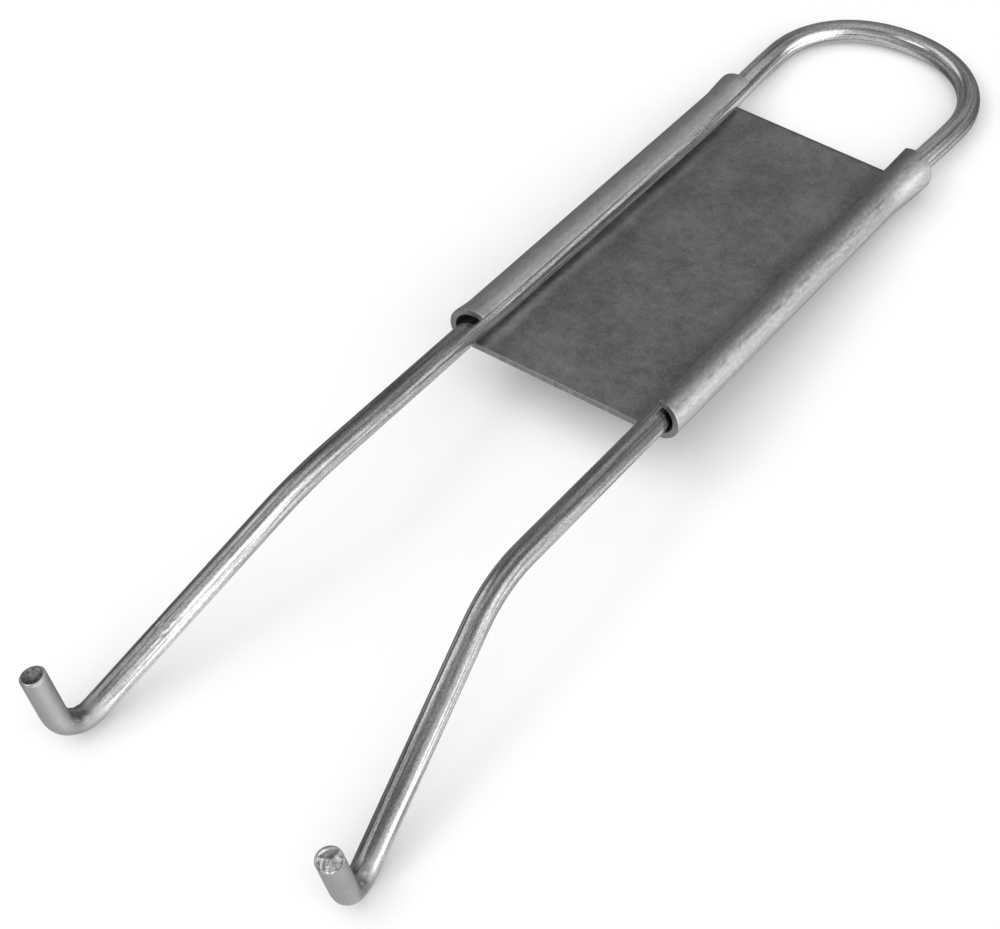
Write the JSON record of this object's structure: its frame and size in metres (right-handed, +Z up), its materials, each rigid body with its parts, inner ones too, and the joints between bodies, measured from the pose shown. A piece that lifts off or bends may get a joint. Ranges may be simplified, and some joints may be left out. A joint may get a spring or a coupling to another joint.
{
  "type": "beekeeping frame grip",
  "caption": "Wire frame grip: a round rod bent into a handle loop and hooked legs, with a sheet-metal plate whose curled edges slide along the rods.",
  "frame": {"origin": "centre of the bounding box's underside, where the grip lies on a table on its hook bends and the end of its handle loop", "axes": "+X across the legs, +Y from the hooks to the handle loop, +Z up, with the rods' plane tilted 5.8 degrees down towards +Y"},
  "size_m": [0.0714, 0.2516, 0.0213],
  "materials": {
    "bright_steel": "bright drawn steel rod, glossy with fine lengthwise drawing lines, duller where it was bent",
    "satin_steel": "satin grey sheet steel with a fine mottled grain, lighter and scuffed on the curls"
  },
  "bodies": {
    "rod": {"bent_rod": "bright_steel"},
    "plate": {"sliding_plate": "satin_steel"}
  },
  "joints": [
    {"name": "plate_slide", "type": "slide", "parent": "rod", "child": "plate", "axis": [0, 0.9949, -0.1006], "range_m": [-0.042, 0.002]}
  ]
}
